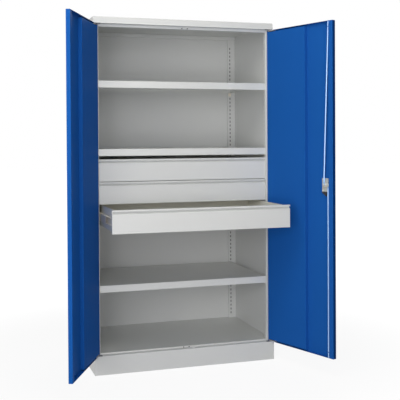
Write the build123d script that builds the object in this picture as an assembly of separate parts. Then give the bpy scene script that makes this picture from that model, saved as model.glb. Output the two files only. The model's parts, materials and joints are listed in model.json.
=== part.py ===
from build123d import *
import math
import os

os.makedirs("parts", exist_ok=True)

# A two-door storage cabinet of folded sheet steel, in millimetres.
# X runs to the right, Y to the back and Z up. The origin is the middle of the footprint on the floor.

# Whole cabinet
WIDTH = 1050.0
DEPTH = 650.0
HEIGHT = 1950.0
SHEET = 1.5
BEND = 2.2

# Plinth and cap
PLINTH_HEIGHT = 104.0
PLINTH_SHEET = 2.0
PLINTH_FLANGE = 40.0
PLINTH_FOOT = 22.0
CAP_HEIGHT = 35.0

# Casing
POST_WIDTH = 35.0
POST_DEPTH = 30.0
POST_RETURN = 4.0
FLOOR_RISE = 10.0
HEAD_RAIL_HEIGHT = 15.5
UPRIGHT_WIDTH = 50.0
UPRIGHT_DEPTH = 17.0
REAR_RAIL_HEIGHT = 22.0
REAR_RAIL_DEPTH = 8.0

# Slots for the shelf clips
SLOT_PITCH = 25.0
SLOT_HEIGHT = 13.0
SLOT_WIDTH = 5.5
SLOT_START = 32.0
SLOT_COLUMN = 35.0
POST_SLOT_DEPTH = 22.0

# Shelves
SHELF_SLOTS = {"upper": 57, "middle": 42, "lower": 12}
SHELF_FRONT_HEIGHT = 39.0
SHELF_SKIRT = 25.0
SHELF_RETURN = 9.0
SHELF_BEHIND_POST = 6.5
SHELF_SIDE_CLEARANCE = 1.0
SHELF_REAR_CLEARANCE = 0.5
STIFFENER_WIDTH = 60.0
STIFFENER_DEPTH = 18.0
STIFFENER_FOOT = 15.0
CLIP_SHEET = 2.0
CLIP_WIDTH = 11.0
CLIP_TONGUE = 16.0
CLIP_TAB = 20.0
CLIP_HOOK_DROP = 8.0
CLIP_HOOK = 3.5
CLIP_HOOK_SLACK = 0.25

# Doors
DOOR_THICKNESS = 22.0
DOOR_SHEET = 1.2
DOOR_EDGE_RADIUS = 1.8
DOOR_CLOSED_GAP = 5.5
DOOR_SIDE_GAP = 4.0
DOOR_CENTRE_GAP = 3.0
DOOR_FOOT_GAP = 2.5
DOOR_HEAD_GAP = 5.0
DOOR_LIP = 29.0
STIFF_PANEL_REACH = 300.0
STIFF_PANEL_END_GAP = 9.0
LEFT_DOOR_ANGLE = 115.0
RIGHT_DOOR_ANGLE = 109.0

# Pivot hinges
HINGE_INSET = 15.0
PIN_RADIUS = 4.0
PIN_HEAD_RADIUS = 7.0
PIN_HEAD = 4.0
PIN_ENTRY = 20.0
BUSH_WALL = 2.6
BUSH_FLANGE_RADIUS = 8.5
BUSH_BARREL = 13.0
BUSH_PLAY = 0.3
RUNNING_FIT = 0.05
HINGE_PLATE = 3.0
HINGE_PLATE_REACH = 40.0
HINGE_PLATE_CLEARANCE = 0.3
BUFFER_RADIUS = 2.8
BUFFER_PLAY = 0.5
BUFFER_FROM_CENTRE = 16.0

# Lock on the right door
LOCK_HEIGHT = 1032.0
SPINDLE_BACKSET = 55.5
SPINDLE_SIDE = 8.0
SPINDLE_BORE = 6.2
LOCK_BODY_WIDTH = 44.0
LOCK_BODY_HEIGHT = 73.0
LOCK_BODY_THICKNESS = 8.8
LOCK_BODY_OFFSET = 13.0
LOCK_BODY_RADIUS = 3.0
LOCK_BODY_CHAMFER = 1.0
LOCK_SCREW_RADIUS = 3.2
LOCK_SCREW_HEAD = 2.0
LOCK_SCREW_EDGE = 7.0
SCREW_CROSS_DEPTH = 1.0
SCREW_CROSS_WIDTH = 0.8
CAM_PLAY = 0.3
CAM_SHEET = 3.0
CAM_RADIUS = 9.0
CAM_THROW = 15.5
CAM_PIN_RADIUS = 3.0
CAM_PIN_HEAD_RADIUS = 4.4
CAM_PIN_HEAD = 1.5
CAM_SCREW_RADIUS = 5.5
CAM_SCREW_HEAD = 2.5
ROD_RADIUS = 4.0
ROD_EYE_RADIUS = 7.0
ROD_EYE_SHEET = 4.0
ROD_NECK = 16.0
ROD_TIP_CHAMFER = 1.5
TOP_ROD_BACKSET = 35.5
LOW_ROD_BACKSET = 40.0
ROD_TIP_TOP = 2.0
ROD_TIP_LOW = 0.5
GUIDE_INSET = 30.0
GUIDE_SHEET = 3.0
GUIDE_WIDTH = 40.0
GUIDE_CLEARANCE = 0.5
STRIKE_CLEARANCE = 2.5
ROSE_WIDTH = 46.0
ROSE_HEIGHT = 88.0
ROSE_THICKNESS = 6.0
ROSE_RADIUS = 12.0
HANDLE_LENGTH = 88.0
HANDLE_WIDTH = 18.0
HANDLE_THICKNESS = 13.0
HANDLE_CORNER = 8.5
HANDLE_REACH = 32.0
HUB_RADIUS = 16.0
KEY_RADIUS = 8.0
KEY_LENGTH = 16.0
KEY_PROUD = 1.0
KEY_SLOT_WIDTH = 1.4
KEY_SLOT_LENGTH = 9.0
KEY_SLOT_DEPTH = 6.0

# Drawers
DRAWERS = 3
DRAWER_PITCH = 125.0
DRAWER_HEIGHT = 122.0
DRAWER_BELOW_SHELF = 18.0
DRAWER_BEHIND_POST = 8.5
DRAWER_SHEET = 1.2
DRAWER_BEND = 1.6
DRAWER_SIDE_CLEARANCE = 1.0
GRIP_LIP = 9.0
GRIP_PROUD = 3.0
GRIP_DEPTH = 11.0
GRIP_MOUTH = 13.0
GRIP_FLOOR = 4.0
FRONT_DEPTH = 16.0
FRONT_LEG = 12.0
TRAY_LENGTH = 556.0
TRAY_BELOW_TOP = 3.0
TRAY_ABOVE_BASE = 4.0
TRAY_SHEET = 1.0
LOWEST_DRAWER_PULL = 350.0

# Telescopic slides
SLIDE_LENGTH = 550.0
SLIDE_START = 6.0
SLIDE_HEIGHT = 46.0
SLIDE_THICKNESS = 16.0
SLIDE_SHEET = 1.5
SLIDE_BEND = 1.8
SLIDE_PLAY = 0.5
SLIDE_BELOW_TOP = 66.0
SLIDE_LAP = 3.0
BRACKET_HEIGHT = 54.0

# Levels and planes that follow from the sizes above
FRONT = -DEPTH / 2
BACK = DEPTH / 2
SIDE = WIDTH / 2
CAP_UNDER = HEIGHT - CAP_HEIGHT
CEILING = HEIGHT - SHEET
FLOOR = PLINTH_HEIGHT + FLOOR_RISE
POST_FRONT = FRONT + DOOR_THICKNESS + DOOR_CLOSED_GAP
POST_BACK = POST_FRONT + POST_DEPTH
OPENING = SIDE - POST_WIDTH
BACK_INNER = BACK - SHEET
UPRIGHT_FRONT = BACK_INNER - UPRIGHT_DEPTH
SHELF_FRONT = POST_FRONT + SHELF_BEHIND_POST
SHELF_BACK = UPRIGHT_FRONT - SHELF_REAR_CLEARANCE
SHELF_HALF = OPENING - SHELF_SIDE_CLEARANCE
DRAWER_FACE = POST_FRONT + DRAWER_BEHIND_POST
TRAY_FRONT = DRAWER_FACE + FRONT_DEPTH
SLIDE_SEAT = SHELF_HALF - SLIDE_LAP
TRAY_HALF = SLIDE_SEAT - SLIDE_THICKNESS
DRAWER_PULLED = (0.0, 0.0, LOWEST_DRAWER_PULL)

HINGE_X = SIDE - HINGE_INSET
HINGE_Y = FRONT + DOOR_THICKNESS / 2
DOOR_BOTTOM = PLINTH_HEIGHT + DOOR_FOOT_GAP
DOOR_TOP = CAP_UNDER - DOOR_HEAD_GAP
DOOR_HINGE_EDGE = -(HINGE_INSET - DOOR_SIDE_GAP)
DOOR_FREE_EDGE = HINGE_X - DOOR_CENTRE_GAP / 2
BUSH_RADIUS = PIN_RADIUS + RUNNING_FIT + BUSH_WALL

SPINDLE_S = DOOR_FREE_EDGE - SPINDLE_BACKSET
LOCK_FACE = DOOR_SHEET + LOCK_BODY_THICKNESS
CAM_FACE = LOCK_FACE + CAM_PLAY
EYE_FACE = CAM_FACE + CAM_SHEET + CAM_PLAY
ROD_T = EYE_FACE + ROD_EYE_SHEET / 2
PIN_TOP = EYE_FACE + ROD_EYE_SHEET + CAM_PLAY


def block(x, y, z):
    """Box between pairs of limits."""
    size = (x[1] - x[0], y[1] - y[0], z[1] - z[0])
    middle = ((x[0] + x[1]) / 2, (y[0] + y[1]) / 2, (z[0] + z[1]) / 2)
    return Pos(*middle) * Box(*size)


def fold(points, sheet=SHEET, bend=BEND):
    """Section of a folded sheet whose outer face follows the points, with the sheet on their right."""
    path = FilletPolyline(*points, radius=bend)
    return make_face(offset(path, amount=sheet, side=Side.RIGHT, closed=True))


def along_x(section, x):
    """Sweep a section, drawn in Y and Z, along X."""
    return extrude(Plane.YZ.offset(x[0]) * section, amount=x[1] - x[0])


def along_y(section, y):
    """Sweep a section, drawn in X and Z, along Y."""
    return extrude(Plane.XZ.offset(-y[0]) * section, amount=y[1] - y[0], dir=(0, 1, 0))


def along_z(section, z):
    """Sweep a section, drawn in X and Y, along Z."""
    return extrude(Plane.XY.offset(z[0]) * section, amount=z[1] - z[0])


def both_sides(shape):
    """The shape, drawn at the right, and its mirror image at the left."""
    return Compound([*shape.solids(), *left_of(shape).solids()])


def left_of(shape):
    """Mirror a shape, drawn at the right, to the left."""
    return mirror(shape, about=Plane.YZ)


def slot_level(number):
    """Height of the middle of a clip slot, counted from the lowest."""
    return FLOOR + SLOT_START + SLOT_PITCH * number


def shelf_level(name):
    """Height of the top face of a shelf."""
    return slot_level(SHELF_SLOTS[name]) + CLIP_HOOK_DROP + CLIP_SHEET + SHELF_SKIRT


def slot_count():
    """How many slots fit between the bottom panel and the ceiling."""
    room = CEILING - REAR_RAIL_HEIGHT - FLOOR - 2 * SLOT_START
    return int(room // SLOT_PITCH) + 1


# Casing, fixed to the floor


def plinth():
    """Hollow base ring with a flange above for the casing and a narrower one below to stand on."""
    ring = block((-SIDE, SIDE), (FRONT, BACK), (0, PLINTH_HEIGHT))
    ring = fillet(ring.edges().filter_by(Axis.Z), PLINTH_SHEET)
    wall = PLINTH_SHEET
    ring -= block((wall - SIDE, SIDE - wall), (FRONT + wall, BACK - wall), (wall, PLINTH_HEIGHT - wall))
    for reach, z in (
        (PLINTH_FOOT, (0, wall)),
        (PLINTH_FLANGE, (PLINTH_HEIGHT - wall, PLINTH_HEIGHT)),
    ):
        ring -= block((reach - SIDE, SIDE - reach), (FRONT + reach, BACK - reach), z)
    for x in (-HINGE_X, HINGE_X):
        ring -= Pos(x, HINGE_Y, PLINTH_HEIGHT) * Cylinder(PIN_RADIUS, 4 * wall)
    return ring - rod_slot("lower", PLINTH_HEIGHT, 4 * wall, STRIKE_CLEARANCE)


def roof_cap():
    """Shallow tray, upside down, whose underside is the ceiling.

    The flange behind its front lies on the posts and holds the upper pivots.
    """
    cap = block((-SIDE, SIDE), (FRONT, BACK), (CAP_UNDER, HEIGHT))
    cap = fillet(cap.edges().filter_by(Axis.Z), BEND)
    cap = fillet(cap.faces().sort_by(Axis.Z)[-1].edges(), BEND)
    inner_z = (CAP_UNDER + SHEET, HEIGHT - SHEET)
    cap -= block((SHEET - SIDE, SIDE - SHEET), (FRONT + SHEET, BACK - SHEET), inner_z)
    mouth = (CAP_UNDER, CAP_UNDER + SHEET)
    cap -= block((SHEET - SIDE, SIDE - SHEET), (POST_BACK, BACK - SHEET), mouth)
    for x in (-HINGE_X, HINGE_X):
        cap -= Pos(x, HINGE_Y, CAP_UNDER) * Cylinder(PIN_RADIUS, 4 * SHEET)
    return cap - rod_slot("upper", CAP_UNDER, 4 * SHEET, STRIKE_CLEARANCE)


def side_panel():
    """Right side wall, from the plinth to the cap."""
    return block((SIDE - SHEET, SIDE), (POST_FRONT + POST_RETURN, BACK), (PLINTH_HEIGHT, CAP_UNDER))


def back_panel():
    """Rear wall between the side walls."""
    return block((SHEET - SIDE, SIDE - SHEET), (BACK_INNER, BACK), (PLINTH_HEIGHT, CAP_UNDER))


def front_post():
    """Right front post: a channel that faces the door, turned back along the opening."""
    section = fold(
        [
            (SIDE, POST_FRONT + POST_RETURN),
            (SIDE, POST_FRONT),
            (OPENING, POST_FRONT),
            (OPENING, POST_BACK),
        ]
    )
    post = along_z(section, (PLINTH_HEIGHT, CAP_UNDER))
    y = POST_FRONT + POST_SLOT_DEPTH
    cut = [
        Pos(OPENING, y, slot_level(i)) * Box(4 * SHEET, SLOT_WIDTH, SLOT_HEIGHT)
        for i in range(slot_count())
    ]
    return post - cut


def rear_upright():
    """Right rear upright: a channel in the corner with a column of slots."""
    inside = SIDE - SHEET
    section = fold(
        [
            (inside, BACK_INNER),
            (inside, UPRIGHT_FRONT),
            (inside - UPRIGHT_WIDTH, UPRIGHT_FRONT),
            (inside - UPRIGHT_WIDTH, BACK_INNER),
        ]
    )
    upright = along_z(section, (FLOOR, CEILING - REAR_RAIL_HEIGHT))
    x = inside - SLOT_COLUMN
    cut = [
        Pos(x, UPRIGHT_FRONT, slot_level(i)) * Box(SLOT_WIDTH, 4 * SHEET, SLOT_HEIGHT)
        for i in range(slot_count())
    ]
    return upright - cut


def head_rail():
    """Channel across the top of the opening, level with the posts."""
    section = fold(
        [
            (POST_BACK, CAP_UNDER - HEAD_RAIL_HEIGHT),
            (POST_FRONT, CAP_UNDER - HEAD_RAIL_HEIGHT),
            (POST_FRONT, CAP_UNDER),
            (POST_BACK, CAP_UNDER),
        ]
    )
    return along_x(section, (-OPENING, OPENING))


def rear_rail():
    """Channel under the ceiling, along the top of the back wall."""
    section = fold(
        [
            (BACK_INNER, CEILING - REAR_RAIL_HEIGHT),
            (UPRIGHT_FRONT, CEILING - REAR_RAIL_HEIGHT),
            (UPRIGHT_FRONT, CEILING),
            (UPRIGHT_FRONT + REAR_RAIL_DEPTH, CEILING),
        ]
    )
    inside = SIDE - SHEET
    return along_x(section, (-inside, inside))


def bottom_panel():
    """Floor of the inside, turned down at the front onto the plinth and notched round the posts."""
    section = fold(
        [
            (POST_FRONT + FLOOR_RISE, PLINTH_HEIGHT),
            (POST_FRONT, PLINTH_HEIGHT),
            (POST_FRONT, FLOOR),
            (BACK_INNER, FLOOR),
            (BACK_INNER, PLINTH_HEIGHT),
        ]
    )
    inside = SIDE - SHEET
    panel = along_x(section, (-inside, inside))
    notch = block((OPENING, SIDE), (FRONT, POST_BACK), (0, HEIGHT))
    return panel - notch - left_of(notch)


def shelf(name):
    """Tray-shaped shelf with a deep folded front edge."""
    top = shelf_level(name)
    section = fold(
        [
            (SHELF_FRONT + SHELF_RETURN, top - SHELF_FRONT_HEIGHT),
            (SHELF_FRONT, top - SHELF_FRONT_HEIGHT),
            (SHELF_FRONT, top),
            (SHELF_BACK, top),
            (SHELF_BACK, top - SHELF_SKIRT),
        ]
    )
    body = along_x(section, (-SHELF_HALF, SHELF_HALF))
    skirt = block(
        (SHELF_HALF - SHEET, SHELF_HALF),
        (SHELF_FRONT + BEND, SHELF_BACK - BEND),
        (top - SHELF_SKIRT, top - SHEET),
    )
    return body + skirt + left_of(skirt)


def shelf_stiffener(name):
    """Hat-shaped channel under a shelf, from side to side."""
    under = shelf_level(name) - SHEET
    middle = (SHELF_FRONT + SHELF_BACK) / 2
    half = STIFFENER_WIDTH / 2
    section = fold(
        [
            (middle - half - STIFFENER_FOOT, under),
            (middle - half, under),
            (middle - half, under - STIFFENER_DEPTH),
            (middle + half, under - STIFFENER_DEPTH),
            (middle + half, under),
            (middle + half + STIFFENER_FOOT, under),
        ]
    )
    reach = SHELF_HALF - SHEET
    return along_x(section, (-reach, reach))


def shelf_clips(name):
    """Four clips that hook into the posts and the uprights and carry a shelf at its corners."""
    seat = shelf_level(name) - SHELF_SKIRT
    tongue_z = (seat - CLIP_SHEET, seat)
    tab_z = (seat - CLIP_TAB, seat)
    hook_middle = seat - CLIP_SHEET - CLIP_HOOK_DROP
    hook_half = SLOT_HEIGHT / 2 - CLIP_HOOK_SLACK
    hook_z = (hook_middle - hook_half, hook_middle + hook_half)
    half_hook = SLOT_WIDTH / 2 - CLIP_HOOK_SLACK

    y = POST_FRONT + POST_SLOT_DEPTH
    wide = (y - CLIP_WIDTH / 2, y + CLIP_WIDTH / 2)
    front = block((OPENING - CLIP_TONGUE, OPENING), wide, tongue_z)
    front += block((OPENING - CLIP_SHEET, OPENING), wide, tab_z)
    front += block((OPENING - CLIP_SHEET, OPENING + CLIP_HOOK), (y - half_hook, y + half_hook), hook_z)

    x = SIDE - SHEET - SLOT_COLUMN
    face = UPRIGHT_FRONT
    wide = (x - CLIP_WIDTH, x + CLIP_WIDTH / 2)
    rear = block(wide, (face - CLIP_TONGUE, face), tongue_z)
    rear += block(wide, (face - CLIP_SHEET, face), tab_z)
    rear += block((x - half_hook, x + half_hook), (face - CLIP_SHEET, face + CLIP_HOOK), hook_z)
    return Compound([*both_sides(front).solids(), *both_sides(rear).solids()])


# Doors. A door is drawn shut: s runs from the hinge axis to the free edge and t from the
# outer face inwards. side is 1 for the right door and -1 for the left one.


def door_x(side, s):
    """Place across the cabinet of a distance from the hinge axis of a shut door."""
    return side * (HINGE_X - s)


def door_block(side, s, t, z):
    """Box given by its limits in a shut door."""
    x = sorted((door_x(side, s[0]), door_x(side, s[1])))
    return block(x, (FRONT + t[0], FRONT + t[1]), z)


def opened(side, shape):
    """Turn a shut door's shape to the angle at which it stands."""
    angle = RIGHT_DOOR_ANGLE if side > 0 else -LEFT_DOOR_ANGLE
    axis = Axis((side * HINGE_X, HINGE_Y, 0), (0, 0, 1))
    return shape.rotate(axis, angle)


def drilled_t(side, s, z, radius, t):
    """Cutter or disc through a door's thickness."""
    middle = FRONT + (t[0] + t[1]) / 2
    return Pos(door_x(side, s), middle, z) * Rot(90, 0, 0) * Cylinder(radius, t[1] - t[0])


def door_skin(side):
    """Outer pan of a door: the face, four turned edges and a lip at the free edge."""
    sheet = DOOR_SHEET
    inner_s = (DOOR_HINGE_EDGE + sheet, DOOR_FREE_EDGE - sheet)
    inner_z = (DOOR_BOTTOM + sheet, DOOR_TOP - sheet)
    pan = door_block(side, (DOOR_HINGE_EDGE, DOOR_FREE_EDGE), (0, DOOR_THICKNESS), (DOOR_BOTTOM, DOOR_TOP))
    pan = fillet(pan.edges().filter_by(Axis.Z), DOOR_EDGE_RADIUS)
    pan = fillet(pan.faces().sort_by(Axis.Y)[0].edges().filter_by(Axis.X), DOOR_EDGE_RADIUS)
    under_lip = (sheet, DOOR_THICKNESS - sheet)
    pan -= door_block(side, inner_s, under_lip, inner_z)
    mouth_s = (inner_s[0], DOOR_FREE_EDGE - DOOR_LIP)
    pan -= door_block(side, mouth_s, (sheet, DOOR_THICKNESS), inner_z)
    bore = Cylinder(BUSH_RADIUS, 4 * sheet)
    for z in (DOOR_BOTTOM, DOOR_TOP):
        pan -= Pos(side * HINGE_X, HINGE_Y, z) * bore
    return pan


def stiffening_panel(side):
    """Hat-shaped inner panel that doubles the hinge half of a door."""
    start = DOOR_HINGE_EDGE + DOOR_SHEET
    section = fold(
        [
            (door_x(1, STIFF_PANEL_REACH), FRONT + DOOR_SHEET),
            (door_x(1, STIFF_PANEL_REACH), FRONT + DOOR_THICKNESS),
            (door_x(1, start), FRONT + DOOR_THICKNESS),
            (door_x(1, start), FRONT + DOOR_SHEET),
        ],
        DOOR_SHEET,
        DOOR_EDGE_RADIUS,
    )
    inset = DOOR_SHEET + STIFF_PANEL_END_GAP
    panel = along_z(section, (DOOR_BOTTOM + inset, DOOR_TOP - inset))
    return panel if side > 0 else left_of(panel)


def hinge_plates(side):
    """Thick plates that back the door's top and bottom edges round the pivots."""
    s = (DOOR_HINGE_EDGE + 3 * DOOR_SHEET, HINGE_PLATE_REACH)
    t = (DOOR_SHEET + HINGE_PLATE_CLEARANCE, DOOR_THICKNESS - DOOR_SHEET - HINGE_PLATE_CLEARANCE)
    low = DOOR_BOTTOM + DOOR_SHEET
    high = DOOR_TOP - DOOR_SHEET
    plates = []
    for z in ((low, low + HINGE_PLATE), (high - HINGE_PLATE, high)):
        plate = door_block(side, s, t, z)
        plate -= Pos(side * HINGE_X, HINGE_Y, sum(z) / 2) * Cylinder(BUSH_RADIUS, 2 * HINGE_PLATE)
        plates.append(plate)
    return Compound(plates)


def hinge_bushes(side):
    """Flanged bushes that line the door's pivot holes and carry the door on the plinth."""
    bushes = []
    for edge, rest, way in (
        (DOOR_BOTTOM, PLINTH_HEIGHT + BUSH_PLAY, 1),
        (DOOR_TOP, CAP_UNDER - BUSH_PLAY, -1),
    ):
        flange_z = sorted((rest, edge))
        barrel_z = sorted((edge, edge + way * BUSH_BARREL))
        bush = Cylinder(BUSH_FLANGE_RADIUS, flange_z[1] - flange_z[0])
        bush = Pos(0, 0, sum(flange_z) / 2) * bush
        bush += Pos(0, 0, sum(barrel_z) / 2) * Cylinder(BUSH_RADIUS, BUSH_BARREL)
        bush -= Pos(0, 0, edge) * Cylinder(PIN_RADIUS + RUNNING_FIT, 4 * BUSH_BARREL)
        bushes.append(Pos(side * HINGE_X, HINGE_Y, 0) * bush)
    return Compound(bushes)


def hinge_pins():
    """Pivot pins: two stand on the plinth's flange and two hang from the cap's."""
    pins = []
    for face, sheet, way in ((PLINTH_HEIGHT, PLINTH_SHEET, 1), (CAP_UNDER, SHEET, -1)):
        far = face - way * sheet
        shank_z = sorted((far, face + way * PIN_ENTRY))
        head_z = sorted((far, far - way * PIN_HEAD))
        pin = Pos(0, 0, sum(shank_z) / 2) * Cylinder(PIN_RADIUS, shank_z[1] - shank_z[0])
        pin += Pos(0, 0, sum(head_z) / 2) * Cylinder(PIN_HEAD_RADIUS, PIN_HEAD)
        pins += both_sides(Pos(HINGE_X, HINGE_Y, 0) * pin).solids()
    return Compound(pins)


def door_buffers():
    """Soft discs above and below the opening that the doors' free edges close against."""
    length = DOOR_CLOSED_GAP - BUFFER_PLAY
    low = FLOOR - BEND - BUFFER_RADIUS
    high = CAP_UNDER - HEAD_RAIL_HEIGHT + BEND + BUFFER_RADIUS
    discs = []
    for z in (low, high):
        disc = Rot(90, 0, 0) * Cylinder(BUFFER_RADIUS, length)
        disc = fillet(disc.faces().sort_by(Axis.Y)[0].edges(), BUFFER_RADIUS / 3)
        disc = Pos(BUFFER_FROM_CENTRE, POST_FRONT - length / 2, z) * disc
        discs += both_sides(disc).solids()
    return Compound(discs)


# Lock on the right door


# Where each rod passes its door edge, that edge, the side that its pin starts on, and its end
ROD_LINES = {
    "upper": (DOOR_FREE_EDGE - TOP_ROD_BACKSET, DOOR_TOP, 1, DOOR_TOP + ROD_TIP_TOP),
    "lower": (DOOR_FREE_EDGE - LOW_ROD_BACKSET, DOOR_BOTTOM, -1, DOOR_BOTTOM - ROD_TIP_LOW),
}


def rod_tilts(name):
    """Lean of a rod away from upright, towards the free edge, with the lock open and shut."""
    end_s, edge, way, _ = ROD_LINES[name]
    rise = abs(edge - LOCK_HEIGHT)
    unlocked = math.atan2(end_s - (SPINDLE_S - way * CAM_THROW), rise)
    locked = math.atan2(end_s - SPINDLE_S, rise - CAM_THROW)
    return unlocked, locked


def rod_sway(name, level):
    """Distances from the hinge axis at which a rod passes a level: lock open, half turned and shut.

    The rod turns evenly about its pin, so it strays a little from a straight line in between.
    """
    way = ROD_LINES[name][2]
    unlocked, locked = rod_tilts(name)
    places = []
    for share in (0.0, 0.5, 1.0):
        turn = share * math.pi / 2
        pin_s = SPINDLE_S - way * CAM_THROW * math.cos(turn)
        rise = abs(level - LOCK_HEIGHT) - CAM_THROW * math.sin(turn)
        places.append(pin_s + rise * math.tan(unlocked + (locked - unlocked) * share))
    return places


def rod_slot(name, level, height, clearance=GUIDE_CLEARANCE):
    """Cutter for the slot that a rod passes and sways in."""
    sway = rod_sway(name, level)
    around = ROD_RADIUS + clearance
    s = (min(sway) - around, max(sway) + around)
    return door_block(1, s, (ROD_T - around, ROD_T + around), (level - height / 2, level + height / 2))


def right_door_skin():
    """The right door's pan, with the spindle hole and the slots for the rods."""
    pan = door_skin(1)
    pan -= drilled_t(1, SPINDLE_S, LOCK_HEIGHT, SPINDLE_BORE, (-DOOR_SHEET, 3 * DOOR_SHEET))
    pan -= rod_slot("upper", DOOR_TOP, 6 * DOOR_SHEET)
    return pan - rod_slot("lower", DOOR_BOTTOM, 6 * DOOR_SHEET)


def lock_body():
    """Flat lock case on the inside of the right door."""
    middle_s = SPINDLE_S - LOCK_BODY_OFFSET
    half = LOCK_BODY_WIDTH / 2
    z = (LOCK_HEIGHT - LOCK_BODY_HEIGHT / 2, LOCK_HEIGHT + LOCK_BODY_HEIGHT / 2)
    case = door_block(1, (middle_s - half, middle_s + half), (DOOR_SHEET, LOCK_FACE), z)
    case = fillet(case.edges().filter_by(Axis.Y), LOCK_BODY_RADIUS)
    case = chamfer(case.faces().sort_by(Axis.Y)[-1].edges(), LOCK_BODY_CHAMFER)
    return case - drilled_t(1, SPINDLE_S, LOCK_HEIGHT, SPINDLE_BORE, (0, DOOR_THICKNESS))


def lock_screws():
    """Pan-head screws that hold the lock case."""
    s = SPINDLE_S - LOCK_BODY_OFFSET - LOCK_BODY_WIDTH / 2 + LOCK_SCREW_EDGE
    reach = LOCK_BODY_HEIGHT / 2 - LOCK_SCREW_EDGE
    t = (LOCK_FACE, LOCK_FACE + LOCK_SCREW_HEAD)
    heads = []
    for z in (LOCK_HEIGHT - reach, LOCK_HEIGHT + reach):
        head = drilled_t(1, s, z, LOCK_SCREW_RADIUS, t)
        head = fillet(head.faces().sort_by(Axis.Y)[-1].edges(), LOCK_SCREW_HEAD / 2)
        bar = Box(LOCK_SCREW_RADIUS, SCREW_CROSS_DEPTH, SCREW_CROSS_WIDTH)
        middle = Pos(door_x(1, s), FRONT + t[1], z)
        cross = [middle * Rot(0, turn, 0) * bar for turn in (0, 90)]
        heads.append(head - cross)
    return Compound(heads)


def rod_guides():
    """Brackets on the right door that hold the rods near their ends."""
    guides = []
    for name, level in (("upper", DOOR_TOP - GUIDE_INSET), ("lower", DOOR_BOTTOM + GUIDE_INSET)):
        middle = ROD_LINES[name][0]
        s = (middle - GUIDE_WIDTH / 2, middle + GUIDE_WIDTH / 2 - 2 * ROD_RADIUS)
        t = (DOOR_SHEET, DOOR_THICKNESS - DOOR_SHEET)
        half = GUIDE_SHEET / 2
        guide = door_block(1, s, t, (level - half, level + half))
        guides.append(guide - rod_slot(name, level, 2 * GUIDE_SHEET))
    return Compound(guides)


def handle_rose():
    """Plate under the turn handle, outside."""
    half = ROSE_WIDTH / 2
    z = (LOCK_HEIGHT - ROSE_HEIGHT / 2, LOCK_HEIGHT + ROSE_HEIGHT / 2)
    rose = door_block(1, (SPINDLE_S - half, SPINDLE_S + half), (-ROSE_THICKNESS, 0), z)
    rose = fillet(rose.edges().filter_by(Axis.Y), ROSE_RADIUS)
    rose = fillet(rose.faces().sort_by(Axis.Y)[0].edges(), ROSE_THICKNESS / 2)
    return rose - drilled_t(1, SPINDLE_S, LOCK_HEIGHT, SPINDLE_BORE, (-2 * ROSE_THICKNESS, ROSE_THICKNESS))


def turn_handle():
    """Winged handle with a hub. The wing stands upright while the lock is open."""
    outer = -HANDLE_REACH
    wing_t = (outer, outer + HANDLE_THICKNESS)
    half = HANDLE_WIDTH / 2
    z = (LOCK_HEIGHT - HANDLE_LENGTH / 2, LOCK_HEIGHT + HANDLE_LENGTH / 2)
    wing = door_block(1, (SPINDLE_S - half, SPINDLE_S + half), wing_t, z)
    wing = fillet(wing.edges().filter_by(Axis.Y), HANDLE_CORNER)
    wing = fillet(wing.faces().sort_by(Axis.Y)[0].edges(), HANDLE_THICKNESS / 4)
    hub = drilled_t(1, SPINDLE_S, LOCK_HEIGHT, HUB_RADIUS, (outer, -ROSE_THICKNESS - CAM_PLAY))
    hub = fillet(hub.faces().sort_by(Axis.Y)[0].edges(), HANDLE_THICKNESS / 6)
    grip = wing + hub
    key_bore = (outer - KEY_PROUD, outer + KEY_LENGTH)
    grip -= drilled_t(1, SPINDLE_S, LOCK_HEIGHT, KEY_RADIUS, key_bore)
    return grip - spindle_bar((outer + KEY_LENGTH + SHEET, 0))


def spindle_bar(t):
    """Square bar on the lock's axis."""
    half = SPINDLE_SIDE / 2
    s = (SPINDLE_S - half, SPINDLE_S + half)
    return door_block(1, s, t, (LOCK_HEIGHT - half, LOCK_HEIGHT + half))


def spindle():
    """Square spindle from the handle to the cam."""
    return spindle_bar((-HANDLE_REACH + KEY_LENGTH + SHEET, CAM_FACE + CAM_SHEET))


def cam_pin_places():
    """The rods' pins on the cam, while the lock is open: the upper rod's first."""
    return (SPINDLE_S - CAM_THROW, SPINDLE_S + CAM_THROW)


def lock_cam():
    """Two-armed cam with a headed pin for each rod."""
    t = (CAM_FACE, CAM_FACE + CAM_SHEET)
    z = (LOCK_HEIGHT - CAM_RADIUS, LOCK_HEIGHT + CAM_RADIUS)
    cam = door_block(1, cam_pin_places(), t, z)
    for s in cam_pin_places():
        cam += drilled_t(1, s, LOCK_HEIGHT, CAM_RADIUS, t)
        cam += drilled_t(1, s, LOCK_HEIGHT, CAM_PIN_RADIUS, (t[1], PIN_TOP))
        cam += drilled_t(1, s, LOCK_HEIGHT, CAM_PIN_HEAD_RADIUS, (PIN_TOP, PIN_TOP + CAM_PIN_HEAD))
    return cam - spindle_bar((0, DOOR_THICKNESS))


def cam_screw():
    """Screw that holds the cam on the spindle."""
    face = CAM_FACE + CAM_SHEET
    head = drilled_t(1, SPINDLE_S, LOCK_HEIGHT, CAM_SCREW_RADIUS, (face, face + CAM_SCREW_HEAD))
    return fillet(head.faces().sort_by(Axis.Y)[-1].edges(), CAM_SCREW_HEAD / 3)


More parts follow.
